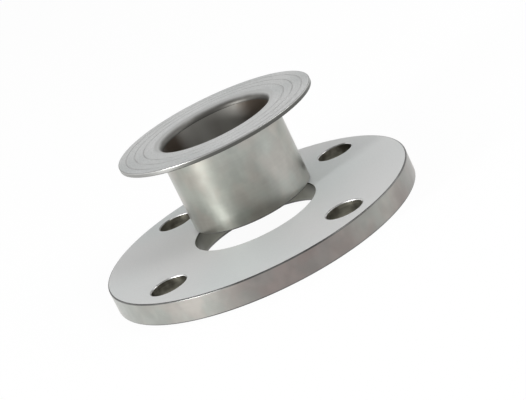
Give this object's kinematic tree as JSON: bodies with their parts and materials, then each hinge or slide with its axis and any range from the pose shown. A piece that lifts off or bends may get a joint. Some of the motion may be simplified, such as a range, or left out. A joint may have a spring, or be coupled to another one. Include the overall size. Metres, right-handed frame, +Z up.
{
  "type": "lap joint pipe flange",
  "caption": "Loose plate backing flange with bolt holes round a plain bore, and its stub end: a short pipe with a flared lap, standing on the flange.",
  "frame": {"origin": "on the backing flange's axis, at the plane of its underside", "axes": "+Z up along the backing flange's axis; the bolt holes are at 45 degrees to X and Y; the stub end stands on the +Y side"},
  "size_m": [0.1524, 0.1524, 0.0555],
  "materials": {
    "flange_steel": "turned stainless steel, satin",
    "stub_steel": "rolled stainless steel, satin, with a finely turned lap"
  },
  "bodies": {
    "root": {"backing_flange": "flange_steel", "stub_end": "stub_steel"}
  },
  "joints": []
}
